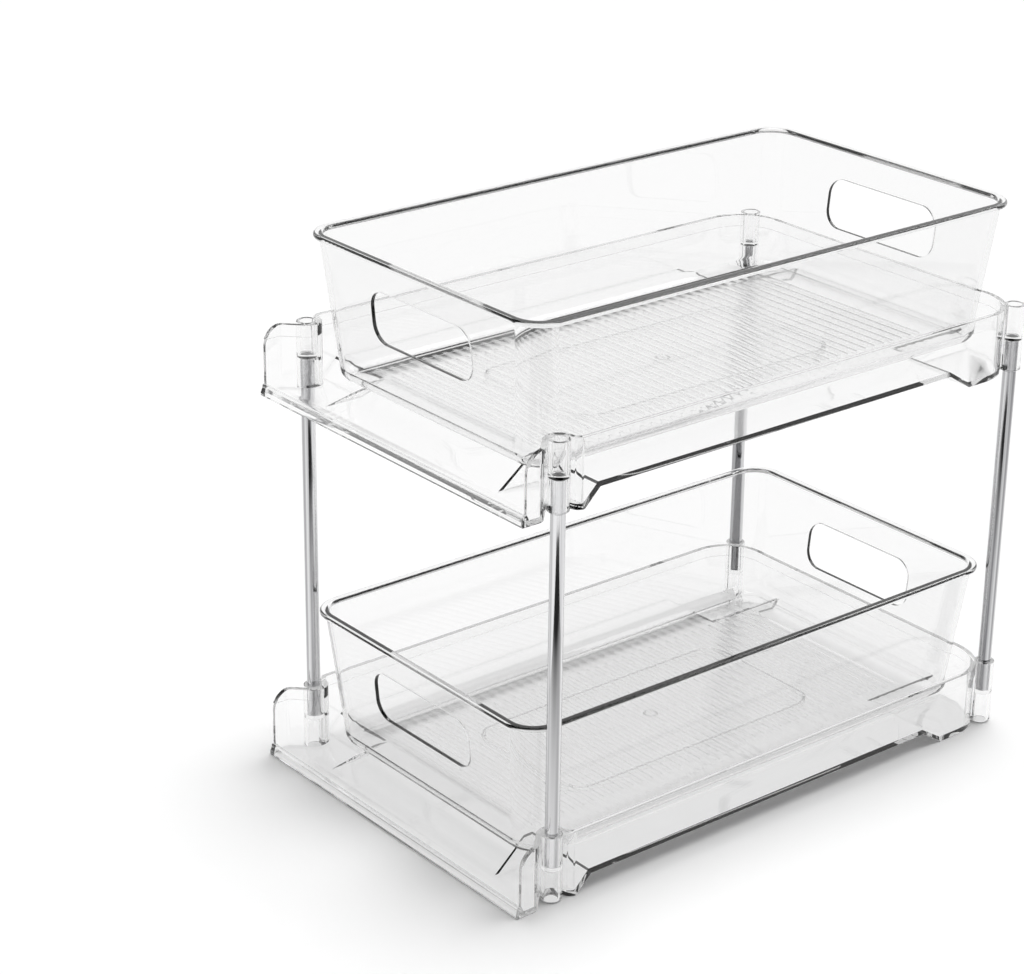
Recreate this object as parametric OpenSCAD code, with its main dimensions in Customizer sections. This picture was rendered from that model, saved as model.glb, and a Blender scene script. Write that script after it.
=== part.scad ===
/* [Shelf] */
// Width of a tray over its sides
tray_w = 188; // [178:1:240]
// Depth of a tray from its front lip to the outside of its back wall
tray_d = 297.5; // [260:0.5:380]
// Height of the tray sides above the ground
tray_h = 32; // [28:0.5:45]
// Height from one tray to the next
tier_pitch = 182.5; // [150:0.5:260]

/* [Tray walls] */
// Thickness of the tray walls
wall = 1.8; // [1.4:0.1:2.6]
// Height of the thicker band along the top of the sides
band_h = 6; // [3:0.5:10]
// How far that band stands proud of the wall
band_proud = 0.6; // [0.2:0.1:1]
// Outer radius of the back corners
back_corner_r = 24; // [20:0.5:34]
// How far the ears' front edge lies behind the lip
ear_setback = 2; // [1:0.1:5]
// Radius of the ears' top front corner
ear_r = 9.5; // [4:0.5:16]

/* [Tray floor] */
// Clear height below the raised floor
floor_lift = 8; // [6.5:0.5:12]
// Thickness of the raised floor
floor_t = 2; // [1.4:0.1:3]
// Distance from the front lip to the top of the ramp
ramp_back = 35.5; // [30:0.5:44]
// Distance from the front lip to the foot of the ramp
ramp_front = 13; // [8:0.5:20]
// Height of the front lip
lip_h = 5.1; // [4:0.1:6]
// Depth of the front lip from front to back
lip_d = 4.2; // [3:0.1:6]
// Height of the step in the lip's front face
lip_step_h = 2.6; // [1.5:0.1:3]
// Depth of that step
lip_step_d = 0.9; // [0.4:0.1:1.4]
// Width of the stiffening ring under the floor
ring_w = 74; // [50:1:90]
// Depth of the stiffening ring under the floor
ring_d = 153; // [100:1:170]
// Distance from the back wall to the stiffening ring
ring_back = 66; // [60:1:90]
// Outer corner radius of the ring
ring_r = 12; // [6:0.5:18]
// Thickness of the ring's rib
ring_t = 1.5; // [1:0.1:3]
// Height of the ring's rib
ring_h = 2.6; // [1:0.1:4]

/* [Feet] */
// Thickness of the plate at the bottom of each foot
foot_t = 2.2; // [1.6:0.1:3]
// Width of a front foot at the underside of the floor
front_foot_w = 40.8; // [34:0.2:46]
// Run of the sloping flank of a front foot
front_flank_run = 8.2; // [4:0.2:12]
// Length of a front foot from the lip at the underside of the floor
front_foot_l = 41; // [38:0.5:56]
// Run of the sloping end of a front foot
front_end_run = 8.2; // [4:0.2:12]
// Width of a back foot at the underside of the floor
back_foot_w = 39.5; // [34:0.5:46]
// Run of the sloping flank of a back foot
back_flank_run = 5; // [2:0.2:12]
// Length of a back foot from the back wall at the underside of the floor
back_foot_l = 48.5; // [44:0.5:58]
// Run of the sloping end of a back foot
back_end_run = 13; // [4:0.5:16]

/* [Sockets] */
// Outer diameter of a socket
socket_d = 9.6; // [8.8:0.1:12]
// Depth of the bore at each end of a socket
bore_depth = 15; // [10:0.5:20]
// Chamfer at the bottom of a socket
socket_chamfer = 0.8; // [0.3:0.1:1.2]
// Distance from the tray's side to a socket's axis
post_side = 5.3; // [5:0.1:7]
// Distance from the front lip to the front sockets' axes
post_front = 22.5; // [20:0.5:26]
// Distance from the back wall to the back sockets' axes
post_back = 3; // [1:0.5:6]
// Slope of the pocket wall in front of a front socket
pocket_front_angle = 45; // [35:1:55]
// Slope of the pocket wall behind a front socket
pocket_rear_angle = 20; // [10:1:35]
// Radius where the pocket wall meets the side
pocket_mouth_r = 5; // [3.6:0.1:7]
// Width of the web that ties a back socket to the corner
web_w = 6; // [3:0.5:8]

/* [Posts] */
// Diameter of a post
post_d = 6.4; // [5:0.1:7]
// Radial clearance of a post in its socket
post_clear = 0.05; // [0.02:0.01:0.1]
// Chamfer at the ends of a post
post_chamfer = 0.4; // [0.2:0.1:0.8]

/* [Bins] */
// Depth of a bin over its rim
bin_d = 287.5; // [240:0.5:289]
// Height of a bin
bin_h = 68.3; // [50:0.1:100]
// How far each side leans in from rim to base
bin_taper = 6.8; // [2:0.1:9]
// Thickness of the bin walls
bin_wall = 2; // [1.4:0.1:2.6]
// Thickness of the bin floor
bin_floor_t = 2; // [1.4:0.1:3]
// Corner radius of the bin walls
bin_corner_r = 13; // [9:0.5:20]
// Rounding between the walls and the base
bin_base_r = 2.5; // [1:0.1:4]
// Overhang of the rim
flange_w = 2.4; // [2:0.1:6]
// Thickness of the rim
flange_t = 2.3; // [1.4:0.1:4]
// Gap between a bin and the tray floor
bin_gap = 0.2; // [0.1:0.05:0.5]
// Gap between a bin and the tray's back wall
bin_back_gap = 0.4; // [0.3:0.1:3]
// Gap between a bin's rim and the posts beside it
bin_post_gap = 4.1; // [2:0.1:12]

/* [Bin handles] */
// Width of a handle slot
slot_w = 69; // [50:1:100]
// Height of a handle slot
slot_h = 24.2; // [18:0.1:28]
// Distance from the rim's top to the slot
slot_drop = 15.5; // [10:0.1:20]
// Corner radius of a handle slot
slot_r = 8.5; // [4:0.5:9]

/* [Bin floor ribs] */
// Width of the ribbed field
ribs_w = 103; // [60:1:116]
// Margin from the ribbed field to the floor's front and back ends
ribs_margin = 16; // [8:1:40]
// Spacing of the ribs
rib_pitch = 5.87; // [4:0.01:12]
// Width of a rib
rib_w = 2.2; // [1:0.1:3.4]
// Height of a rib
rib_h = 0.5; // [0.2:0.1:1]

/* [Hidden] */
// Overrun of every cut past the face that it opens
overrun = 1;
// Height of the thin discs that a rounded shell is drawn over
skin = 0.01;
// How far joined solids run into each other
bite = 0.3;
// How far a straight wall runs inside the round that it joins
graze = 0.03;
// Facets of the bins' rounded corners
corner_fn = 32;
// Steps in the ears' round corner
ear_steps = 12;
// Share of the lip's depth that its flat top takes
lip_top_share = 0.45;
$fn = 64;

// The bins fill the width between the posts
bin_w = tray_w - 2 * (post_side + post_d / 2 + bin_post_gap);

// The bins stand on the raised floor, close to the back wall
floor_top = floor_lift + floor_t;
bin_base_z = floor_top + bin_gap;
lean_at_tray_rim = bin_taper * (bin_h - (tray_h - bin_base_z)) / bin_h;
rim_past_wall = flange_w + lean_at_tray_rim - band_proud - wall - bin_back_gap;
overall_d = tray_d + rim_past_wall;

// Places along the depth, from the middle of the whole shelf
lip_y = -overall_d / 2;
back_y = lip_y + tray_d;
ear_y = lip_y + ear_setback;
bin_y = overall_d / 2 - bin_d / 2;
front_post_y = lip_y + post_front;
back_post_y = back_y - post_back;
post_x = tray_w / 2 - post_side;
corner_x = tray_w / 2 - back_corner_r;
corner_y = back_y - back_corner_r;
apron_half = tray_w / 2 - front_foot_w + front_flank_run + wall;

// Fits of the posts
bore_r = post_d / 2 + post_clear;
post_bottom_z = tray_h - bore_depth;
post_l = tier_pitch + bore_depth - post_bottom_z;
pocket_r = socket_d / 2 - bite;

// Clear plastic and bright metal, as shown in the colours below
clear_alpha = 0.45;

// A rectangle with round corners, centred, in the plane
module round_rect(w, d, r) {
    square([w - 2 * r, d], center = true);
    square([w, d - 2 * r], center = true);
    for (x = [-1, 1], y = [-1, 1])
        translate([x * (w / 2 - r), y * (d / 2 - r)]) circle(r);
}

// A profile in depth and height, drawn out across the width from x0 to x1
module across(x0, x1) {
    translate([x0, 0, 0]) rotate([90, 0, 90]) linear_extrude(x1 - x0) children();
}

// A profile in width and height, drawn out along the depth from y0 to y1
module along(y0, y1) {
    translate([0, y1, 0]) rotate([90, 0, 0]) linear_extrude(y1 - y0) children();
}

// Its children, and their mirror image on the left
module both_sides() {
    children();
    mirror([1, 0, 0]) children();
}

// The corner that is taken off where one slope of the pocket meets the side.
// side is 1 for the slope behind the socket and -1 for the one before it.
module pocket_mouth(inset, angle, side) {
    half = tray_w / 2 - inset;
    r = pocket_mouth_r - inset;
    reach = pocket_r + inset + r - graze;
    cx = half - r;
    cy = reach * cos(angle) + (cx - post_x + reach * sin(angle)) * tan(angle);
    deep = reach - r - bite;
    edge = deep * cos(angle) + (half + overrun - post_x + deep * sin(angle)) * tan(angle);
    translate([0, front_post_y]) scale([1, side]) difference() {
        polygon([[cx, cy], [cx + (r + bite) * sin(angle), cy - (r + bite) * cos(angle)],
            [half + overrun, edge], [half + overrun, cy]]);
        translate([cx, cy]) circle(r + graze);
    }
}

// The pocket in a side of the tray that holds a front socket
module pocket(inset) {
    r = pocket_r + inset;
    out = tray_w / 2 - inset + overrun - post_x;
    front = (r - graze) * [sin(pocket_front_angle), cos(pocket_front_angle)];
    rear = (r - graze) * [sin(pocket_rear_angle), cos(pocket_rear_angle)];
    translate([post_x, front_post_y]) {
        circle(r);
        polygon([[0, 0], -front, [out, -front.y - (out + front.x) * tan(pocket_front_angle)],
            [out, rear.y + (out + rear.x) * tan(pocket_rear_angle)], [-rear.x, rear.y]]);
    }
    pocket_mouth(inset, pocket_front_angle, -1);
    pocket_mouth(inset, pocket_rear_angle, 1);
}

// The tray seen from above, drawn in by inset, from front_y to the back wall
module tray_outline(inset, front_y) {
    half = tray_w / 2 - inset;
    difference() {
        union() {
            translate([-half, front_y]) square([2 * half, corner_y - front_y]);
            translate([-corner_x, corner_y - bite]) square([2 * corner_x, back_corner_r - inset + bite]);
            for (x = [-1, 1]) translate([x * corner_x, corner_y]) circle(back_corner_r - inset);
        }
        both_sides() pocket(inset);
    }
}

// The side and back walls from low upwards, open at the front
module walls(inset, low) {
    height = tray_h - low;
    translate([0, 0, low]) difference() {
        linear_extrude(height) tray_outline(inset, ear_y);
        translate([0, 0, -overrun])
            linear_extrude(height + 2 * overrun) tray_outline(band_proud + wall, ear_y - overrun);
    }
}

// What is taken off to round the top front corner of the ears
module ear_corner() {
    arc = [for (i = [0 : ear_steps]) ear_r * [-cos(90 * i / ear_steps), sin(90 * i / ear_steps)]];
    out = ear_r + overrun;
    across(-tray_w / 2 - overrun, tray_w / 2 + overrun)
        translate([ear_y + ear_r, tray_h - ear_r])
            polygon(concat(arc, [[0, out], [-out, out], [-out, 0]]));
}

// A sloping face of a foot in section, and all that lies between it and far.
// The face starts at top under the floor and runs out by run down to the
// ground. It is set back by inset, and drawn from low to high.
module foot_section(top, run, far, inset, low, high) {
    slope = run / floor_lift;
    start = top + sign(run) * inset * norm([1, slope]);
    polygon([[start + slope * (floor_lift - low), low], [start + slope * (floor_lift - high), high],
        [far, high], [far, low]]);
}

// The right-hand feet as solid blocks, or their pockets when inset is a wall
module feet(inset, low, high) {
    side = tray_w / 2;
    front = ear_y - inset;
    intersection() {
        translate([0, 0, low]) linear_extrude(high - low) tray_outline(band_proud + inset, front);
        union() {
            intersection() {
                across(0, side)
                    foot_section(lip_y + front_foot_l, -front_end_run, front, inset, low, high);
                along(front, back_y)
                    foot_section(side - front_foot_w, front_flank_run, side, inset, low, high);
            }
            intersection() {
                across(0, side)
                    foot_section(back_y - back_foot_l, back_end_run, back_y, inset, low, high);
                along(front, back_y)
                    foot_section(side - back_foot_w, back_flank_run, side, inset, low, high);
            }
        }
    }
}

// The apron between the front feet, before its ramp is cut
module apron() {
    across(-apron_half, apron_half)
        polygon([[ear_y, 0], [ear_y, floor_top], [lip_y + ramp_back + bite, floor_top],
            [lip_y + ramp_back + bite, floor_lift], [lip_y + ramp_back, floor_lift],
            [lip_y + ramp_front, 0]]);
}

// What is taken off above the ramp and the front plate
module ramp_cut() {
    across(-apron_half, apron_half)
        polygon([[ear_y - overrun, foot_t], [lip_y + ramp_front, foot_t],
            [lip_y + ramp_back, floor_top], [lip_y + ramp_back, floor_top + overrun],
            [ear_y - overrun, floor_top + overrun]]);
}

// The stepped lip along the front
module lip() {
    half = tray_w / 2 - band_proud;
    top = lip_step_d + lip_d * lip_top_share;
    across(-half, half)
        translate([lip_y, 0])
            polygon([[0, 0], [0, lip_step_h - lip_step_d], [lip_step_d / 2, lip_step_h],
                [lip_step_d, lip_step_h + lip_step_d], [lip_step_d, lip_h - lip_step_d / 2],
                [lip_step_d * 3 / 2, lip_h], [top, lip_h], [lip_d, foot_t], [lip_d, 0]]);
}

// The raised floor with its stiffening ring below
module raised_floor() {
    translate([0, 0, floor_lift]) linear_extrude(floor_t)
        tray_outline(band_proud + wall / 2, lip_y + ramp_back);
    translate([0, back_y - ring_back - ring_d / 2, floor_lift - ring_h])
        linear_extrude(ring_h + bite) difference() {
            round_rect(ring_w, ring_d, ring_r);
            round_rect(ring_w - 2 * ring_t, ring_d - 2 * ring_t, ring_r - ring_t);
        }
}

// A socket without its bores
module socket() {
    cylinder(h = socket_chamfer, r1 = socket_d / 2 - socket_chamfer, r2 = socket_d / 2);
    translate([0, 0, socket_chamfer]) cylinder(h = tray_h - socket_chamfer, d = socket_d);
}

// The web between a back socket and the rounded corner
module socket_web() {
    run = [corner_x - post_x, corner_y - back_post_y];
    reach = norm(run) - back_corner_r + band_proud + wall / 2;
    translate([post_x, back_post_y, socket_chamfer]) linear_extrude(tray_h - socket_chamfer)
        rotate(atan2(run.y, run.x)) translate([0, -web_w / 2]) square([reach, web_w]);
}

// Blind bores at both ends of a socket
module socket_bores() {
    translate([0, 0, -overrun]) cylinder(h = bore_depth + overrun, r = bore_r);
    translate([0, 0, tray_h - bore_depth]) cylinder(h = bore_depth + overrun, r = bore_r);
}

// Children at each of the four post axes
module at_posts() {
    for (x = [-1, 1], y = [front_post_y, back_post_y]) translate([x * post_x, y, 0]) children();
}

// One tray, with its ground at zero
module tray() {
    difference() {
        union() {
            difference() {
                union() {
                    walls(band_proud, floor_lift);
                    walls(0, tray_h - band_h);
                    raised_floor();
                    both_sides() feet(0, 0, floor_top);
                    apron();
                }
                both_sides() feet(wall, foot_t, floor_top + overrun);
                ramp_cut();
                ear_corner();
            }
            lip();
            at_posts() socket();
            both_sides() socket_web();
        }
        at_posts() socket_bores();
    }
}

// One post, standing on the web between the bores of the lower socket
module post(x, y) {
    color("silver") translate([x, y, post_bottom_z]) {
        cylinder(h = post_chamfer, r1 = post_d / 2 - post_chamfer, r2 = post_d / 2);
        translate([0, 0, post_chamfer]) cylinder(h = post_l - 2 * post_chamfer, d = post_d);
        translate([0, 0, post_l - post_chamfer])
            cylinder(h = post_chamfer, r1 = post_d / 2, r2 = post_d / 2 - post_chamfer);
    }
}

// A thin layer of a bin at height z, drawn in by inset from its rim's wall
module bin_layer(z, inset, r) {
    x = bin_w / 2 - flange_w - inset - r;
    y = bin_d / 2 - flange_w - inset - r;
    translate([0, 0, z]) for (i = [-1, 1], j = [-1, 1])
        translate([i * x, j * y, 0]) cylinder(h = skin, r = r, $fn = corner_fn);
}

// The inward lean of a bin's wall at height z
function lean(z) = bin_taper * (bin_h - z) / bin_h;

// The outside of a bin below its rim
module bin_outside() {
    hull() {
        bin_layer(0, lean(0) + bin_base_r, bin_corner_r - bin_base_r / 2);
        bin_layer(bin_base_r, lean(bin_base_r), bin_corner_r);
        bin_layer(bin_h - skin, 0, bin_corner_r);
    }
}

// The hollow of a bin
module bin_inside() {
    r = bin_corner_r - bin_wall;
    low = bin_floor_t + bin_base_r;
    hull() {
        bin_layer(bin_floor_t, bin_wall + lean(bin_floor_t) + bin_base_r, r - bin_base_r / 2);
        bin_layer(low, bin_wall + lean(low), r);
        bin_layer(bin_h, bin_wall, r);
        bin_layer(bin_h + overrun, bin_wall, r);
    }
}

// The rim that runs round the top
module bin_rim() {
    hull() {
        bin_layer(bin_h - flange_t, -flange_w, bin_corner_r + flange_w);
        bin_layer(bin_h - skin, -flange_w, bin_corner_r + flange_w);
    }
}

// Handle slots through the front and back walls
module bin_slots() {
    translate([0, bin_d / 2, bin_h - slot_drop - slot_h / 2])
        rotate([90, 0, 0]) linear_extrude(bin_d) round_rect(slot_w, slot_h, slot_r);
}

// Fine ribs across the floor
module bin_ribs() {
    field = bin_d - 2 * (flange_w + bin_taper + bin_wall + ribs_margin);
    gaps = floor((field - rib_w) / rib_pitch);
    for (i = [0 : gaps])
        translate([-ribs_w / 2, (i - gaps / 2) * rib_pitch - rib_w / 2, bin_floor_t - bite])
            cube([ribs_w, rib_w, rib_h + bite]);
}

// One bin in its place in a tray whose ground is at zero
module bin() {
    translate([0, bin_y, bin_base_z]) {
        difference() {
            union() {
                bin_outside();
                bin_rim();
            }
            bin_inside();
            bin_slots();
        }
        bin_ribs();
    }
}

module lower_tray() { color("lightcyan", clear_alpha) tray(); }
module upper_tray() { color("lightcyan", clear_alpha) translate([0, 0, tier_pitch]) tray(); }
module front_left_post() { post(-post_x, front_post_y); }
module front_right_post() { post(post_x, front_post_y); }
module back_left_post() { post(-post_x, back_post_y); }
module back_right_post() { post(post_x, back_post_y); }
module lower_bin() { color("aliceblue", clear_alpha) bin(); }
module upper_bin() { color("aliceblue", clear_alpha) translate([0, 0, tier_pitch]) bin(); }

lower_tray();
upper_tray();
front_left_post();
front_right_post();
back_left_post();
back_right_post();
lower_bin();
upper_bin();
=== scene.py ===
"""A two-tier under sink shelf: two clear moulded trays on four bright rods, with a clear pull-out bin on each tray.

The solids come packed as the frame. The trays keep their solids' shape with softened edges and small hollows, and
the bins and rods are modelled here. All lengths are in metres, with Z up and the front of the shelf towards -Y.
"""

import math

import bmesh
import bpy
from bpy.props import FloatProperty, FloatVectorProperty, IntProperty, PointerProperty
from bpy.types import Operator, Panel, PropertyGroup
from mathutils import Matrix, Vector


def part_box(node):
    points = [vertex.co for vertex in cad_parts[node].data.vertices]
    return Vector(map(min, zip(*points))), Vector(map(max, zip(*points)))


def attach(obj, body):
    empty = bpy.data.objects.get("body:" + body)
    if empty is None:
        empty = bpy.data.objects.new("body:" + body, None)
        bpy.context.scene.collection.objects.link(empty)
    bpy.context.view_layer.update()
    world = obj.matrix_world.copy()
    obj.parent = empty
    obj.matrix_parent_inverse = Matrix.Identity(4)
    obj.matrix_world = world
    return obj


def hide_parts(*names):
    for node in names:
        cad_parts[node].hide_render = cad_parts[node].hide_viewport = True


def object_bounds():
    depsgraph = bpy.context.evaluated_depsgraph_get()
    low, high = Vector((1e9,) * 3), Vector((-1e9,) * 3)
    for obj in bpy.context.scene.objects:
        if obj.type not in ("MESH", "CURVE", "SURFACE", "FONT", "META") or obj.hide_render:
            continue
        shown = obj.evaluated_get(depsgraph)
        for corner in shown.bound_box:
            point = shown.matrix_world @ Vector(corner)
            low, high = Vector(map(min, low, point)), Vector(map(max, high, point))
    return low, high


bl_info = {
    "name": "Under sink shelf",
    "version": (1, 0, 0),
    "blender": (4, 5, 0),
    "location": "3D View > Sidebar > Sink shelf",
    "description": "Models a two-tier under sink shelf with two pull-out bins",
    "category": "Add Mesh",
}

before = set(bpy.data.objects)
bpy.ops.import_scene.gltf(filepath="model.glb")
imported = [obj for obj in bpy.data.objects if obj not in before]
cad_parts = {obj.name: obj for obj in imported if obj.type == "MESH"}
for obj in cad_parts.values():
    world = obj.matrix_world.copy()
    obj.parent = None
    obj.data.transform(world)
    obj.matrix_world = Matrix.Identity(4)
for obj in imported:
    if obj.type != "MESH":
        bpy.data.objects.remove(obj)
SOLIDS_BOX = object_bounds()

TRAYS = {"lower_tray": "lower_tray_moulding", "upper_tray": "upper_tray_moulding"}
BINS = {
    "lower_bin": ("lower_bin_tub", "lower_drawer"),
    "upper_bin": ("upper_bin_tub", "upper_drawer"),
}
POSTS = {
    "front_left_post": "front_left_rod",
    "front_right_post": "front_right_rod",
    "back_left_post": "back_left_rod",
    "back_right_post": "back_right_rod",
}
QUADRANTS = ((-1, -1), (1, -1), (1, 1), (-1, 1))

# Clear plastic higher than this throws no shadow on the floor
UPPER_TIER = 0.1
# Points closer than this are one point, and heights closer than the second are one height
SAME_POINT = 1e-5
SAME_HEIGHT = 1e-6
# How far past its stated size an edge of the stiffening ring may lie
RING_SLACK = 1e-4
# Edges that turn by more than these are rounded by the modifier, or by the operators
BEVEL_FROM = math.radians(33)
SHARP = math.radians(60)
QUARTER_TURN = math.radians(90)
# Steps in a small quarter round, in a rounded edge and in a rod's chamfer
ROUND_STEPS = 4
EDGE_STEPS = 2
CHAMFER_STEPS = 3
# Steps round the gate mark's section, and along it
GATE_SECTION = 16
GATE_STEPS = 24
# How long the slots' cutter is, against the bin's depth
CUTTER_REACH = 1.2

# Waves to the metre of the patterns in the finishes
FLOW_MARKS = 9.0
PLASTIC_RUBS = 60.0
FACE_WAVES = 28.0
# Drawn grain along the rods, strong enough to paint in streaky reflections as dark lines
GRAIN_AND_REFLECTION_STREAKS = 300.0
METAL_RUBS = 90.0
# How strong and how high the waves on the plastic's faces are
WAVE_STRENGTH = 0.08
WAVE_HEIGHT = 0.0002
# How the patterns are stretched along X, Y and Z
EVEN = (1.0, 1.0, 1.0)
ALONG_DEPTH = (1.0, 0.35, 1.0)
ALONG_ROD = (1.0, 1.0, 0.004)
ALONG_RUBS = (1.0, 1.0, 0.2)

# Turns of light that it takes to see through both tiers
LIGHT_TURNS = 40
CLEAR_TURNS = 36
GLOSS_TURNS = 12


def length(name, description, default, low=0.0):
    """A size in metres that can be changed in the sidebar."""
    return FloatProperty(
        name=name, description=description, default=default, min=low, unit="LENGTH", subtype="DISTANCE", precision=5
    )


def share(name, description, default):
    """A plain number between nothing and one."""
    return FloatProperty(name=name, description=description, default=default, min=0.0, max=1.0, subtype="FACTOR")


def colour(name, description, default):
    """A colour that can be changed in the sidebar."""
    return FloatVectorProperty(
        name=name, description=description, default=default, size=3, min=0.0, max=1.0, subtype="COLOR"
    )


class SinkShelfTray(PropertyGroup):
    edge: length("Edge radius", "How far the mouldings' edges are rounded", 0.0003)
    lip_face: length("Lip face", "Thickness of the lip in front of its hollow", 0.0019)
    lip_hollow: length("Lip hollow", "Width of the hollow under the lip", 0.001)
    lip_hollow_tall: length("Lip hollow height", "Height of the hollow under the lip", 0.0036)
    lip_end: length("Lip end", "From the tray's side to the end of the lip's hollow", 0.0026)
    floor_under: length("Floor height", "From the tray's foot to the underside of its floor", 0.008)
    ring_tall: length("Ring height", "Height of the stiffening ring under the floor", 0.0026)
    ring_wide: length("Ring width", "Width of the stiffening ring", 0.074)
    ring_deep: length("Ring depth", "Depth of the stiffening ring", 0.153)
    ring_back: length("Ring setback", "From the tray's back to the stiffening ring", 0.066)
    ring_round: length("Ring rounding", "Radius of the stiffening ring's lower edges", 0.0007)
    gate: length("Gate mark", "Radius of the gate mark in the middle of the stiffening ring", 0.003)
    gate_deep: length("Gate mark depth", "Depth of the gate mark", 0.0005)


class SinkShelfBin(PropertyGroup):
    corner: length("Corner radius", "Radius of the tub's upright corners", 0.013)
    lean: length("Lean", "How far each wall leans in from rim to base", 0.0068)
    wall: length("Wall", "Thickness of the walls", 0.002)
    floor: length("Floor", "Thickness of the floor", 0.002)
    base_round: length("Base rounding", "Radius between the walls and the base", 0.0045)
    rim_out: length("Rim overhang", "How far the rim stands out from the wall", 0.0024)
    rim_tall: length("Rim height", "Thickness of the rim", 0.0023)
    rim_round: length("Rim rounding", "Radius of the rim's edges", 0.00114)
    slot_wide: length("Slot width", "Width of a handle slot", 0.069)
    slot_tall: length("Slot height", "Height of a handle slot", 0.0242)
    slot_drop: length("Slot drop", "From the top of the rim to the slot", 0.0155)
    slot_round: length("Slot corner", "Corner radius of a handle slot", 0.0085)
    rib_field: length("Ribbed width", "Width of the ribbed field on the floor", 0.103)
    rib_margin: length("Rib margin", "From the floor's ends to the ribbed field", 0.016)
    rib_pitch: length("Rib pitch", "Spacing of the floor ribs", 0.00587)
    rib_wide: length("Rib width", "Width of a floor rib", 0.003)
    rib_slope: length("Rib slope", "Width of a floor rib's sloping sides", 0.0009)
    rib_tall: length("Rib height", "Height of a floor rib", 0.00035)
    edge: length("Edge radius", "How far the slots' edges are rounded", 0.00035)
    corner_steps: IntProperty(name="Corner steps", description="Steps in a round corner", default=12, min=3)


class SinkShelfPost(PropertyGroup):
    chamfer: length("End chamfer", "Chamfer at the ends of a rod", 0.0004)
    sides: IntProperty(name="Sides", description="Facets round a rod", default=64, min=12)


class SinkShelfFinish(PropertyGroup):
    plastic: colour("Plastic", "Tint of the clear plastic", (0.99, 0.99, 0.99))
    plastic_thin: colour("Plastic, lighter", "Tint where the plastic is clearest", (0.995, 0.995, 0.995))
    plastic_depth: colour("Plastic, deep", "Tint of light that goes a long way through the plastic", (0.3, 0.3, 0.3))
    tray_density: FloatProperty(name="Tray density", description="How fast the trays' plastic darkens", default=12.0)
    bin_density: FloatProperty(name="Bin density", description="How fast the bins' plastic darkens", default=22.0)
    plastic_ior: FloatProperty(name="Plastic IOR", description="Refraction of the plastic", default=1.5, min=1.0)
    plastic_gloss: share("Plastic roughness", "Roughness of the polished plastic", 0.015)
    plastic_worn: share("Plastic roughness, worn", "Roughness where the plastic is rubbed", 0.05)
    metal: colour("Metal", "Colour of the bright rods", (0.82, 0.82, 0.83))
    # The dark lines are drawn grain that also stands in for painted reflection streaks on the rods
    metal_grain_and_reflection_streaks: colour("Metal, dark lines", "Colour of the drawn lines along the rods", (0.22, 0.22, 0.23))
    metal_gloss: share("Metal roughness", "Roughness of the polished metal", 0.09)
    metal_worn: share("Metal roughness, worn", "Roughness where the metal is rubbed", 0.2)


class SinkShelfStudio(PropertyGroup):
    floor: colour("Floor", "Colour of the floor", (0.9, 0.9, 0.9))
    floor_glow: share("Floor glow", "What brings the lit floor up to white", 0.1)
    floor_wide: length("Floor size", "Width of the floor", 12.0)
    floor_gap: length("Floor gap", "How far the floor lies under the shelf", 0.0002)
    fill: share("Fill", "Level of the light from all round", 0.1)
    through: share("Light through", "Level of the light that reaches the floor through the plastic", 0.05)
    clear_floor: share("Clear floor", "How far the floor brightens where it is seen through the plastic", 0.65)
    horizon: FloatProperty(name="Horizon", description="Level that gloss and glass see round about", default=1.0)
    ceiling: FloatProperty(name="Ceiling", description="Level that gloss and glass see overhead", default=0.05)
    ceiling_from: FloatProperty(
        name="Ceiling from",
        description="Height above the horizon at which the ceiling starts",
        default=math.radians(35.33),
        subtype="ANGLE",
    )
    ceiling_full: FloatProperty(
        name="Ceiling full",
        description="Height above the horizon at which it has its level",
        default=math.radians(47.28),
        subtype="ANGLE",
    )
    card_near: length("Card from", "From the middle of the shelf to the near end of the dark card", 0.12)
    card_far: length("Card to", "From the middle of the shelf to the far end of the dark card", 0.9)
    card_wide: length("Card width", "Width of the dark card", 0.5)
    card_full: length("Card dark from", "From the middle of the shelf to where the card is dark", 0.45)
    card: share("Card level", "Level of the dark card", 0.02)
    lamp: FloatProperty(name="Lamp", description="Level of the soft lamp on the floor", default=0.9, min=0.0)
    lamp_soft: FloatProperty(
        name="Lamp softness",
        description="Width of the soft lamp, as an angle",
        default=math.radians(66),
        subtype="ANGLE",
    )
    lamp_place: FloatVectorProperty(
        name="Lamp place", description="Where the soft lamp hangs", default=(-0.15, 0.78, 1.7), subtype="TRANSLATION"
    )
    camera_place: FloatVectorProperty(
        name="Camera place",
        description="Where the camera stands",
        default=(0.8785, -0.7934, 0.6321),
        subtype="TRANSLATION",
    )
    camera_turn: FloatVectorProperty(
        name="Camera turn",
        description="Turn round the shelf, height above it and tilt",
        default=(math.radians(50.9495), math.radians(23.0364), math.radians(0.6577)),
        subtype="EULER",
    )
    camera_lens: FloatProperty(name="Lens", description="Focal length in millimetres", default=97.28, min=1.0)


class SinkShelfValues(PropertyGroup):
    tray: PointerProperty(type=SinkShelfTray)
    bin: PointerProperty(type=SinkShelfBin)
    post: PointerProperty(type=SinkShelfPost)
    finish: PointerProperty(type=SinkShelfFinish)
    studio: PointerProperty(type=SinkShelfStudio)


def values():
    """The sizes and colours as they are set."""
    return bpy.context.scene.sink_shelf


def new_piece(name, bm):
    """An object at the origin with the mesh that bm holds, smooth all over."""
    mesh = bpy.data.meshes.new(name)
    bm.to_mesh(mesh)
    bm.free()
    mesh.shade_smooth()
    piece = bpy.data.objects.new(name, mesh)
    bpy.context.scene.collection.objects.link(piece)
    return piece


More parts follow.
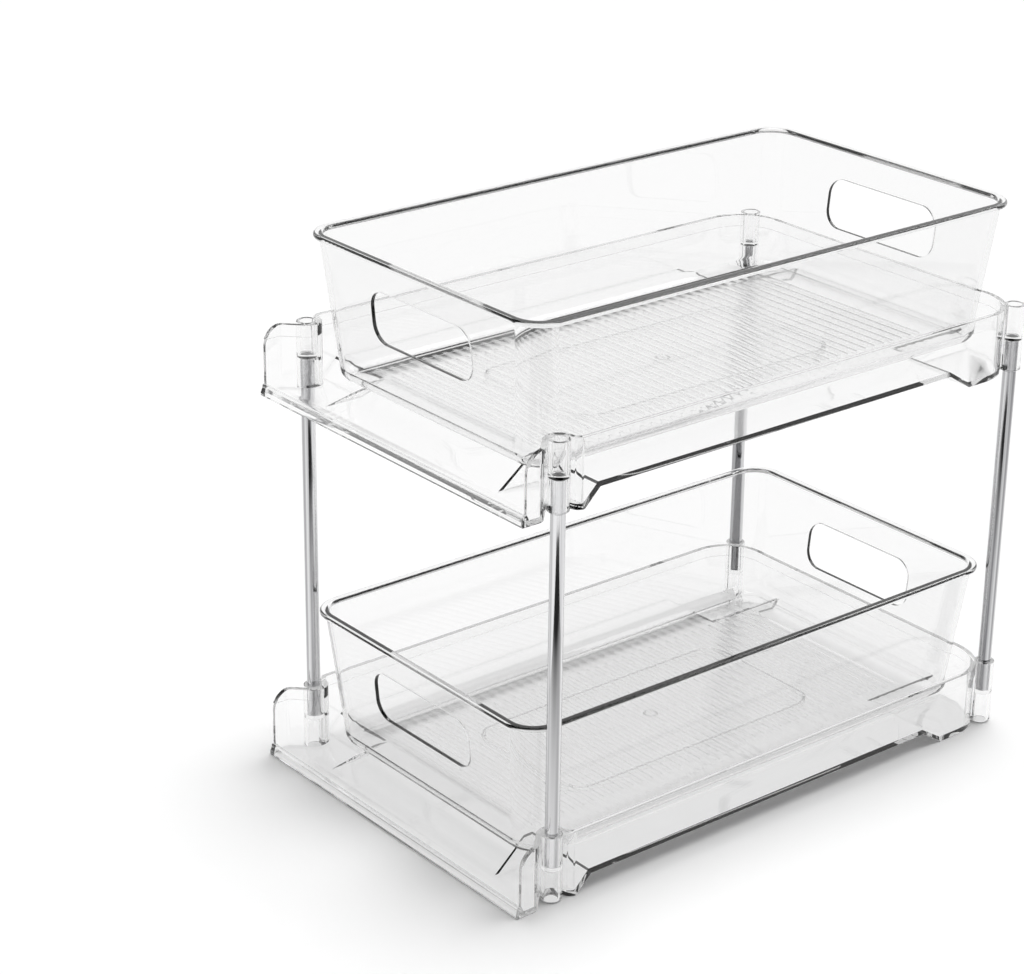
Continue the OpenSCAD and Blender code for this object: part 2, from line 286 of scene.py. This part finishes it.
def round_edges(piece, radius):
    """Rounds a piece's sharp edges and keeps its flat faces flat."""
    bevel = piece.modifiers.new("Rounded edges", "BEVEL")
    bevel.width = radius
    bevel.segments = EDGE_STEPS
    bevel.limit_method = "ANGLE"
    bevel.angle_limit = BEVEL_FROM
    bevel.use_clamp_overlap = True
    flat = piece.modifiers.new("Flat faces", "WEIGHTED_NORMAL")
    flat.mode = "FACE_AREA"
    flat.weight = 100


def dress(piece, material, body, node):
    """Gives a piece its finish, says which body it moves with and hides the solid that it stands for."""
    piece.data.materials.clear()
    piece.data.materials.append(material)
    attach(piece, body)
    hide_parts(node)


def link_noise(nodes, links, coordinates, scale, detail, stretch=EVEN):
    """A noise pattern on the piece, with so many waves to the metre."""
    mapping = nodes.new("ShaderNodeMapping")
    mapping.inputs["Scale"].default_value = stretch
    noise = nodes.new("ShaderNodeTexNoise")
    noise.inputs["Scale"].default_value = scale
    noise.inputs["Detail"].default_value = detail
    links.new(coordinates.outputs["Object"], mapping.inputs["Vector"])
    links.new(mapping.outputs["Vector"], noise.inputs["Vector"])
    return noise.outputs["Fac"]


def link_range(nodes, links, source, low, high, start=0.35, end=0.65):
    """A value that runs from low to high as its source runs from start to end."""
    spread = nodes.new("ShaderNodeMapRange")
    spread.inputs["From Min"].default_value = start
    spread.inputs["From Max"].default_value = end
    spread.inputs["To Min"].default_value = low
    spread.inputs["To Max"].default_value = high
    links.new(source, spread.inputs["Value"])
    return spread.outputs["Result"]


def link_blend(nodes, links, factor, first, second):
    """A colour that runs from the first to the second with the factor."""
    blend = nodes.new("ShaderNodeMix")
    blend.data_type = "RGBA"
    start, end = (socket for socket in blend.inputs if socket.type == "RGBA")
    start.default_value = (*first, 1.0)
    end.default_value = (*second, 1.0)
    links.new(factor, blend.inputs[0])
    return next(socket for socket in blend.outputs if socket.type == "RGBA")


def link_choice(nodes, links, factor, first, second):
    """A value that is the first where the factor is nothing and the second where it is one. Each is a number or
    comes from another node."""
    mix = nodes.new("ShaderNodeMix")
    links.new(factor, mix.inputs[0])
    for source, socket in zip((first, second), mix.inputs[2:4]):
        if isinstance(source, bpy.types.NodeSocket):
            links.new(source, socket)
        else:
            socket.default_value = source
    return mix.outputs[0]


def clear_plastic(name, density):
    """Clear moulded plastic: faint flow marks in its tint, rubbed patches and slightly wavy faces. It darkens with
    depth by its density."""
    if name in bpy.data.materials:
        return bpy.data.materials[name]
    finish = values().finish
    material = bpy.data.materials.new(name)
    material.use_nodes = True
    nodes, links = material.node_tree.nodes, material.node_tree.links
    shader = nodes["Principled BSDF"]
    shader.inputs["Transmission Weight"].default_value = 1.0
    shader.inputs["IOR"].default_value = finish.plastic_ior
    place = nodes.new("ShaderNodeTexCoord")
    marks = link_noise(nodes, links, place, FLOW_MARKS, detail=2.0, stretch=ALONG_DEPTH)
    links.new(link_blend(nodes, links, marks, finish.plastic, finish.plastic_thin), shader.inputs["Base Color"])
    rubbed = link_noise(nodes, links, place, PLASTIC_RUBS, detail=4.0)
    links.new(
        link_range(nodes, links, rubbed, finish.plastic_gloss, finish.plastic_worn, start=0.55, end=0.8),
        shader.inputs["Roughness"],
    )
    depth = nodes.new("ShaderNodeVolumeAbsorption")
    depth.inputs["Color"].default_value = (*finish.plastic_depth, 1.0)
    depth.inputs["Density"].default_value = density
    links.new(depth.outputs[0], nodes["Material Output"].inputs["Volume"])
    waves = nodes.new("ShaderNodeBump")
    waves.inputs["Strength"].default_value = WAVE_STRENGTH
    waves.inputs["Distance"].default_value = WAVE_HEIGHT
    height = link_noise(nodes, links, place, FACE_WAVES, detail=1.0, stretch=ALONG_DEPTH)
    links.new(height, waves.inputs["Height"])
    links.new(waves.outputs["Normal"], shader.inputs["Normal"])
    return material


def bright_metal(name):
    """Bright drawn rod: fine drawn lines along it, darker and lighter, whose dark lines are also painted reflection
    streaks, and slightly rubbed patches.
    """
    if name in bpy.data.materials:
        return bpy.data.materials[name]
    finish = values().finish
    material = bpy.data.materials.new(name)
    material.use_nodes = True
    nodes, links = material.node_tree.nodes, material.node_tree.links
    shader = nodes["Principled BSDF"]
    shader.inputs["Metallic"].default_value = 1.0
    place = nodes.new("ShaderNodeTexCoord")
    # Dark and light lines along the rod in its colour: drawn grain, and painted reflection streaks
    lines = link_noise(nodes, links, place, GRAIN_AND_REFLECTION_STREAKS, detail=2.0, stretch=ALONG_ROD)
    bright = link_range(nodes, links, lines, 0.0, 1.0, start=0.4, end=0.62)
    links.new(link_blend(nodes, links, bright, finish.metal_grain_and_reflection_streaks, finish.metal), shader.inputs["Base Color"])
    rubbed = link_noise(nodes, links, place, METAL_RUBS, detail=4.0, stretch=ALONG_RUBS)
    links.new(
        link_range(nodes, links, rubbed, finish.metal_gloss, finish.metal_worn, start=0.5, end=0.8),
        shader.inputs["Roughness"],
    )
    return material


def cut_away(context, piece, bm):
    """Takes the shapes that bm holds away from a piece."""
    bmesh.ops.recalc_face_normals(bm, faces=bm.faces)
    cutter = new_piece(piece.name + "_cutter", bm)
    cut = piece.modifiers.new("Cut", "BOOLEAN")
    cut.operation = "DIFFERENCE"
    cut.solver = "EXACT"
    cut.object = cutter
    shaped = piece.evaluated_get(context.evaluated_depsgraph_get())
    mesh = bpy.data.meshes.new_from_object(shaped)
    piece.modifiers.clear()
    piece.data = mesh
    bpy.data.objects.remove(cutter)


class SINKSHELF_OT_trays(Operator):
    """Models both trays: the solids' own shape with rounded edges, a hollow under the lip and a gate mark"""

    bl_idname = "sink_shelf.trays"
    bl_label = "Trays"

    def round_ring(self, bm, low, middle):
        """Rounds the lower edges of the stiffening ring under the floor."""
        tray = values().tray
        under = low.z + tray.floor_under - tray.ring_tall
        edges = [
            e
            for e in bm.edges
            if all(abs(v.co.z - under) < SAME_POINT for v in e.verts)
            and all(abs(v.co.x) < tray.ring_wide / 2 + RING_SLACK for v in e.verts)
            and all(abs(v.co.y - middle) < tray.ring_deep / 2 + RING_SLACK for v in e.verts)
            and e.calc_face_angle(0.0) > SHARP
        ]
        if not edges:
            raise RuntimeError("the stiffening ring wasn't found")
        bmesh.ops.bevel(
            bm, geom=edges, offset=tray.ring_round, segments=ROUND_STEPS, profile=0.5, affect="EDGES", material=-1
        )

    def hollows(self, low, high, middle):
        """The hollow under the lip and the ring that the gate leaves."""
        tray = values().tray
        bm = bmesh.new()
        made = bmesh.ops.create_cube(bm, size=1.0)
        wide = high.x - low.x - 2 * tray.lip_end
        bmesh.ops.scale(bm, vec=(wide, tray.lip_hollow, 2 * tray.lip_hollow_tall), verts=made["verts"])
        bmesh.ops.translate(bm, vec=(0.0, low.y + tray.lip_face + tray.lip_hollow / 2, low.z), verts=made["verts"])
        centre = Vector((0.0, middle, low.z + tray.floor_under))
        made = bmesh.ops.create_circle(bm, segments=GATE_SECTION, radius=tray.gate_deep)
        upright = Matrix.Rotation(QUARTER_TURN, 3, "X")
        bmesh.ops.rotate(bm, cent=(0.0, 0.0, 0.0), matrix=upright, verts=made["verts"])
        bmesh.ops.translate(bm, vec=centre + Vector((tray.gate, 0.0, 0.0)), verts=made["verts"])
        ring = {e for v in made["verts"] for e in v.link_edges}
        bmesh.ops.spin(
            bm, geom=list(ring), cent=centre, axis=(0.0, 0.0, 1.0), angle=math.tau, steps=GATE_STEPS, use_merge=True
        )
        return bm

    def execute(self, context):
        tray = values().tray
        for node, name in TRAYS.items():
            low, high = (Vector(corner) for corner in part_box(node))
            middle = high.y - tray.ring_back - tray.ring_deep / 2
            bm = bmesh.new()
            bm.from_mesh(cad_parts[node].data)
            bmesh.ops.remove_doubles(bm, verts=bm.verts, dist=SAME_POINT)
            bmesh.ops.dissolve_limit(bm, angle_limit=math.radians(0.5), verts=bm.verts, edges=bm.edges)
            self.round_ring(bm, low, middle)
            piece = new_piece(name, bm)
            cut_away(context, piece, self.hollows(low, high, middle))
            round_edges(piece, tray.edge)
            plastic = clear_plastic("Clear tray plastic", values().finish.tray_density)
            dress(piece, plastic, "shelf", node)
            piece.visible_shadow = low.z < UPPER_TIER
        return {"FINISHED"}


def round_rectangle(bm, width, depth, radius, steps):
    """A flat face round the origin with four round corners, seen from above."""
    made = bmesh.ops.create_grid(bm, x_segments=1, y_segments=1, size=0.5)
    bmesh.ops.scale(bm, vec=(width, depth, 1.0), verts=made["verts"])
    bmesh.ops.bevel(
        bm,
        geom=made["verts"],
        offset=radius,
        offset_type="OFFSET",
        segments=steps,
        profile=0.5,
        affect="VERTICES",
        material=-1,
    )
    return bm.faces[:]


def next_ring(bm, edges, corner, out, lean, rise):
    """Draws a ring of edges out to the next one, which is out wider, moved out by lean and higher by rise.
    corner holds the centre of a round corner and its radius, and is brought up to date."""
    made = bmesh.ops.extrude_edge_only(bm, edges=edges)["geom"]
    verts = [v for v in made if isinstance(v, bmesh.types.BMVert)]
    x, y, radius = corner
    for i, j in QUADRANTS:
        here = [v for v in verts if v.co.x * i > 0 and v.co.y * j > 0]
        grow = (radius + out) / radius
        bmesh.ops.scale(bm, vec=(grow, grow, 1.0), space=Matrix.Translation((-x * i, -y * j, 0.0)), verts=here)
        bmesh.ops.translate(bm, vec=(lean * i, lean * j, rise), verts=here)
    corner[:] = [x + lean, y + lean, radius + out]
    return [e for e in made if isinstance(e, bmesh.types.BMEdge)]


def rounding(radius, steps, start):
    """The steps of a quarter round as (out, rise) pairs, turning left from the direction start in degrees."""
    turns = [math.radians(start + 90 * k / steps) for k in range(steps + 1)]
    points = [(radius * math.sin(t), -radius * math.cos(t)) for t in turns]
    return [(b[0] - a[0], b[1] - a[1]) for a, b in zip(points, points[1:])]


def lies_at(face, height):
    """Whether a face lies flat at a height."""
    return abs(face.calc_center_median().z - height) < SAME_HEIGHT and abs(face.normal.z) > 0.99


class SINKSHELF_OT_bins(Operator):
    """Models both pull-out bins: a leaning tub with a rim, two handle slots and a ribbed floor"""

    bl_idname = "sink_shelf.bins"
    bl_label = "Bins"

    def tub(self, bm, low, high):
        """The tub with its rim, drawn ring by ring from the base up, over the rim and down to the floor."""
        size = values().bin
        width, depth, tall = high - low
        x = width / 2 - size.rim_out - size.lean - size.corner
        y = depth / 2 - size.rim_out - size.lean - size.corner
        slant = size.lean / tall
        radius = size.corner - size.base_round
        round_rectangle(bm, 2 * (x + radius), 2 * (y + radius), radius, size.corner_steps)
        corner = [x, y, radius]
        ring = bm.edges[:]
        for out, rise in rounding(size.base_round, ROUND_STEPS, 0):
            ring = next_ring(bm, ring, corner, out, slant * rise, rise)
        up = tall - size.rim_tall - size.base_round
        ring = next_ring(bm, ring, corner, 0.0, slant * up, up)
        edge = size.rim_round
        ring = next_ring(bm, ring, corner, size.rim_out + slant * size.rim_tall - edge, 0.0, 0.0)
        for out, rise in rounding(edge, ROUND_STEPS, 0):
            ring = next_ring(bm, ring, corner, out, 0.0, rise)
        ring = next_ring(bm, ring, corner, 0.0, 0.0, size.rim_tall - 2 * edge)
        for out, rise in rounding(edge, ROUND_STEPS, 90):
            ring = next_ring(bm, ring, corner, out, 0.0, rise)
        ring = next_ring(bm, ring, corner, 2 * edge - size.rim_out - size.wall, 0.0, 0.0)
        for out, rise in rounding(edge, ROUND_STEPS, 180):
            ring = next_ring(bm, ring, corner, out, 0.0, rise)
        down = size.floor + size.base_round - tall + edge
        ring = next_ring(bm, ring, corner, 0.0, slant * down, down)
        for out, rise in reversed(rounding(size.base_round, ROUND_STEPS, 0)):
            ring = next_ring(bm, ring, corner, -out, -slant * rise, -rise)
        floor = bmesh.ops.contextual_create(bm, geom=ring)["faces"]
        bmesh.ops.recalc_face_normals(bm, faces=bm.faces)
        return floor

    def ribs(self, bm, floor, depth):
        """Cuts the floor's face into strips and raises each rib from it."""
        size = values().bin
        field = depth - 2 * (size.rim_out + size.lean + size.wall + size.rib_margin)
        gaps = math.floor((field - size.rib_wide) / size.rib_pitch)
        lines = [(k - gaps / 2) * size.rib_pitch for k in range(gaps + 1)]
        cuts = [((side * size.rib_field / 2, 0.0), (1.0, 0.0, 0.0)) for side in (-1, 1)]
        cuts += [((0.0, y + side * size.rib_wide / 2), (0.0, 1.0, 0.0)) for y in lines for side in (-1, 1)]
        height = floor[0].calc_center_median().z
        for (px, py), normal in cuts:
            geom = {g for f in bm.faces if lies_at(f, height) for g in (*f.verts, *f.edges, f)}
            bmesh.ops.bisect_plane(bm, geom=list(geom), dist=1e-7, plane_co=(px, py, height), plane_no=normal)
        tops = []
        for face in bm.faces:
            centre = face.calc_center_median()
            near = min(abs(centre.y - y) for y in lines)
            inside = abs(centre.x) < size.rib_field / 2 and near < size.rib_wide / 4
            if inside and lies_at(face, height):
                tops.append(face)
        for face in tops:
            made = bmesh.ops.inset_individual(
                bm, faces=[face], thickness=size.rib_slope, depth=0.0, use_even_offset=True
            )
            bmesh.ops.translate(bm, vec=(0.0, 0.0, size.rib_tall), verts=list(face.verts))
            if not made["faces"]:
                raise RuntimeError("a floor rib couldn't be raised")

    def slot_cutter(self, depth, tall):
        """A long bar with the slots' shape, which runs through both end walls."""
        size = values().bin
        bm = bmesh.new()
        faces = round_rectangle(bm, size.slot_wide, size.slot_tall, size.slot_round, size.corner_steps)
        made = bmesh.ops.extrude_face_region(bm, geom=faces)["geom"]
        far = [v for v in made if isinstance(v, bmesh.types.BMVert)]
        reach = depth * CUTTER_REACH
        bmesh.ops.translate(bm, vec=(0.0, 0.0, reach), verts=far)
        bmesh.ops.translate(bm, vec=(0.0, 0.0, -reach / 2), verts=bm.verts)
        bmesh.ops.rotate(bm, cent=(0.0, 0.0, 0.0), matrix=Matrix.Rotation(QUARTER_TURN, 3, "X"), verts=bm.verts)
        middle = tall - size.slot_drop - size.slot_tall / 2
        bmesh.ops.translate(bm, vec=(0.0, 0.0, middle), verts=bm.verts)
        return bm

    def execute(self, context):
        for node, (name, body) in BINS.items():
            low, high = (Vector(corner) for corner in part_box(node))
            depth, tall = high.y - low.y, high.z - low.z
            place = Vector(((low.x + high.x) / 2, (low.y + high.y) / 2, low.z))
            bm = bmesh.new()
            floor = self.tub(bm, low, high)
            self.ribs(bm, floor, depth)
            bmesh.ops.translate(bm, vec=place, verts=bm.verts)
            piece = new_piece(name, bm)
            bm = self.slot_cutter(depth, tall)
            bmesh.ops.translate(bm, vec=place, verts=bm.verts)
            cut_away(context, piece, bm)
            round_edges(piece, values().bin.edge)
            plastic = clear_plastic("Clear bin plastic", values().finish.bin_density)
            dress(piece, plastic, body, node)
            piece.visible_shadow = low.z < UPPER_TIER
        return {"FINISHED"}


class SINKSHELF_OT_posts(Operator):
    """Models the four bright rods with their ends chamfered"""

    bl_idname = "sink_shelf.posts"
    bl_label = "Posts"

    def execute(self, context):
        post = values().post
        for node, name in POSTS.items():
            low, high = (Vector(corner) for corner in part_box(node))
            radius = (high.x - low.x) / 2
            bm = bmesh.new()
            bmesh.ops.create_cone(
                bm,
                cap_ends=True,
                segments=post.sides,
                radius1=radius,
                radius2=radius,
                depth=high.z - low.z,
                matrix=Matrix.Translation((low + high) / 2),
            )
            ends = [e for e in bm.edges if e.calc_face_angle() > SHARP]
            bmesh.ops.bevel(
                bm, geom=ends, offset=post.chamfer, segments=CHAMFER_STEPS, profile=0.5, affect="EDGES", material=-1
            )
            piece = new_piece(name, bm)
            dress(piece, bright_metal("Bright rod metal"), "shelf", node)
        return {"FINISHED"}


class SINKSHELF_OT_studio(Operator):
    """Sets up the pale floor, the soft light, the surroundings and the camera"""

    bl_idname = "sink_shelf.studio"
    bl_label = "Studio"

    def floor(self):
        """The pale floor, white where it is lit and brighter where it is seen through the plastic."""
        studio = values().studio
        bm = bmesh.new()
        bmesh.ops.create_grid(bm, x_segments=1, y_segments=1, size=studio.floor_wide / 2)
        bmesh.ops.translate(bm, vec=(0.0, 0.0, SOLIDS_BOX[0][2] - studio.floor_gap), verts=bm.verts)
        floor = new_piece("studio_floor", bm)
        material = bpy.data.materials.new("Pale floor")
        material.use_nodes = True
        nodes, links = material.node_tree.nodes, material.node_tree.links
        nodes.remove(nodes["Principled BSDF"])
        matt = nodes.new("ShaderNodeBsdfDiffuse")
        matt.inputs["Color"].default_value = (*studio.floor, 1.0)
        glow = nodes.new("ShaderNodeEmission")
        both = nodes.new("ShaderNodeAddShader")
        path = nodes.new("ShaderNodeLightPath")
        bent = self.larger(nodes, links, path.outputs["Is Glossy Ray"], path.outputs["Is Transmission Ray"])
        seen = self.larger(nodes, links, path.outputs["Is Camera Ray"], bent)
        links.new(self.times(nodes, links, seen, studio.floor_glow), glow.inputs["Strength"])
        links.new(matt.outputs[0], both.inputs[0])
        links.new(glow.outputs[0], both.inputs[1])
        white = nodes.new("ShaderNodeEmission")
        clear = nodes.new("ShaderNodeMixShader")
        links.new(self.times(nodes, links, bent, studio.clear_floor), clear.inputs[0])
        links.new(both.outputs[0], clear.inputs[1])
        links.new(white.outputs[0], clear.inputs[2])
        links.new(clear.outputs[0], nodes["Material Output"].inputs["Surface"])
        floor.data.materials.append(material)

    def larger(self, nodes, links, first, second):
        """The larger of two values."""
        both = nodes.new("ShaderNodeMath")
        both.operation = "MAXIMUM"
        links.new(first, both.inputs[0])
        links.new(second, both.inputs[1])
        return both.outputs[0]

    def times(self, nodes, links, source, level):
        """A value times a set level."""
        product = nodes.new("ShaderNodeMath")
        product.operation = "MULTIPLY"
        product.inputs[1].default_value = level
        links.new(source, product.inputs[0])
        return product.outputs[0]

    def surroundings(self):
        """White to the camera and dim to matt surfaces. Gloss and glass see it darken overhead."""
        studio = values().studio
        world = bpy.data.worlds.new("Studio")
        bpy.context.scene.world = world
        world.use_nodes = True
        nodes, links = world.node_tree.nodes, world.node_tree.links
        background = nodes["Background"]
        background.inputs["Color"].default_value = (1.0, 1.0, 1.0, 1.0)
        path = nodes.new("ShaderNodeLightPath")
        place = nodes.new("ShaderNodeTexCoord")
        split = nodes.new("ShaderNodeSeparateXYZ")
        links.new(place.outputs["Generated"], split.inputs[0])
        height = nodes.new("ShaderNodeMapRange")
        height.interpolation_type = "SMOOTHSTEP"
        height.inputs["From Min"].default_value = math.sin(studio.ceiling_from)
        height.inputs["From Max"].default_value = math.sin(studio.ceiling_full)
        height.inputs["To Min"].default_value = studio.horizon
        height.inputs["To Max"].default_value = studio.ceiling
        links.new(split.outputs["Z"], height.inputs["Value"])
        lit = nodes.new("ShaderNodeMath")
        lit.operation = "GREATER_THAN"
        lit.inputs[1].default_value = 0.5
        links.new(path.outputs["Diffuse Depth"], lit.inputs[0])
        fill = link_choice(nodes, links, path.outputs["Is Transmission Ray"], studio.fill, studio.through)
        level = link_choice(nodes, links, lit.outputs[0], height.outputs["Result"], fill)
        white = 1.0
        seen = link_choice(nodes, links, path.outputs["Is Camera Ray"], level, white)
        links.new(seen, background.inputs["Strength"])

    def dark_card(self):
        """A dark card on the floor in front, which only gloss sees. It gives the rods their dark line."""
        studio = values().studio
        bm = bmesh.new()
        bmesh.ops.create_grid(bm, x_segments=1, y_segments=1, size=0.5)
        reach = studio.card_far - studio.card_near
        bmesh.ops.scale(bm, vec=(studio.card_wide, reach, 1.0), verts=bm.verts)
        bmesh.ops.translate(bm, vec=(0.0, -studio.card_near - reach / 2, SOLIDS_BOX[0][2]), verts=bm.verts)
        turn = studio.camera_turn[0]
        bmesh.ops.rotate(bm, cent=(0.0, 0.0, 0.0), matrix=Matrix.Rotation(turn, 3, "Z"), verts=bm.verts)
        card = new_piece("studio_card", bm)
        material = bpy.data.materials.new("Dark card")
        material.use_nodes = True
        nodes, links = material.node_tree.nodes, material.node_tree.links
        nodes.remove(nodes["Principled BSDF"])
        place = nodes.new("ShaderNodeTexCoord")
        turned = nodes.new("ShaderNodeMapping")
        turned.inputs["Rotation"].default_value = (0.0, 0.0, -turn)
        split = nodes.new("ShaderNodeSeparateXYZ")
        links.new(place.outputs["Object"], turned.inputs["Vector"])
        links.new(turned.outputs["Vector"], split.inputs[0])
        fade = link_range(nodes, links, split.outputs["Y"], 1.0, 0.0, -studio.card_full, -studio.card_near)
        level = nodes.new("ShaderNodeEmission")
        level.inputs["Strength"].default_value = studio.card
        open_part = nodes.new("ShaderNodeBsdfTransparent")
        both = nodes.new("ShaderNodeMixShader")
        links.new(fade, both.inputs[0])
        links.new(open_part.outputs[0], both.inputs[1])
        links.new(level.outputs[0], both.inputs[2])
        links.new(both.outputs[0], nodes["Material Output"].inputs["Surface"])
        card.data.materials.append(material)
        card.visible_camera = False
        card.visible_diffuse = False
        card.visible_shadow = False
        card.visible_transmission = False

    def lamp(self):
        """The soft lamp that lays the shelf's shadow on the floor."""
        studio = values().studio
        place = Vector(studio.lamp_place)
        data = bpy.data.lights.new("Soft lamp", "SUN")
        data.angle = studio.lamp_soft
        data.energy = studio.lamp * math.pi / place.normalized().z
        lamp = bpy.data.objects.new("Soft lamp", data)
        bpy.context.scene.collection.objects.link(lamp)
        lamp.matrix_world = Matrix.Translation(place) @ place.to_track_quat("Z", "Y").to_matrix().to_4x4()
        lamp.visible_transmission = False

    def camera(self):
        """The camera, at the photograph's viewing angle."""
        studio = values().studio
        turn, height, tilt = studio.camera_turn
        back = Vector((math.sin(turn) * math.cos(height), -math.cos(turn) * math.cos(height), math.sin(height)))
        data = bpy.data.cameras.new("Camera")
        data.sensor_width = 36.0
        data.lens = studio.camera_lens
        camera = bpy.data.objects.new("Camera", data)
        bpy.context.scene.collection.objects.link(camera)
        camera.matrix_world = (
            Matrix.Translation(studio.camera_place)
            @ back.to_track_quat("Z", "Y").to_matrix().to_4x4()
            @ Matrix.Rotation(tilt, 4, "Z")
        )
        bpy.context.scene.camera = camera

    def execute(self, context):
        self.floor()
        self.surroundings()
        self.dark_card()
        self.lamp()
        self.camera()
        scene = context.scene
        scene.view_settings.view_transform = "Standard"
        scene.cycles.max_bounces = LIGHT_TURNS
        scene.cycles.transmission_bounces = CLEAR_TURNS
        scene.cycles.glossy_bounces = GLOSS_TURNS
        return {"FINISHED"}


STEPS = (SINKSHELF_OT_trays, SINKSHELF_OT_bins, SINKSHELF_OT_posts, SINKSHELF_OT_studio)


class SINKSHELF_PT_sidebar(Panel):
    bl_idname = "SINKSHELF_PT_sidebar"
    bl_label = "Under sink shelf"
    bl_space_type = "VIEW_3D"
    bl_region_type = "UI"
    bl_category = "Sink shelf"

    def draw(self, context):
        shelf = values()
        groups = (shelf.tray, shelf.bin, shelf.post, shelf.studio)
        for step, group in zip(STEPS, groups):
            box = self.layout.box()
            box.operator(step.bl_idname)
            for name in group.__annotations__:
                box.prop(group, name)
        box = self.layout.box()
        for name in shelf.finish.__annotations__:
            box.prop(shelf.finish, name)


CLASSES = (
    SinkShelfTray,
    SinkShelfBin,
    SinkShelfPost,
    SinkShelfFinish,
    SinkShelfStudio,
    SinkShelfValues,
    *STEPS,
    SINKSHELF_PT_sidebar,
)


def register():
    for item in CLASSES:
        bpy.utils.register_class(item)
    bpy.types.Scene.sink_shelf = PointerProperty(type=SinkShelfValues)


def unregister():
    del bpy.types.Scene.sink_shelf
    for item in reversed(CLASSES):
        bpy.utils.unregister_class(item)


def main():
    """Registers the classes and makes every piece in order."""
    register()
    bpy.ops.sink_shelf.trays()
    bpy.ops.sink_shelf.bins()
    bpy.ops.sink_shelf.posts()
    bpy.ops.sink_shelf.studio()


if __name__ == "__main__":
    main()
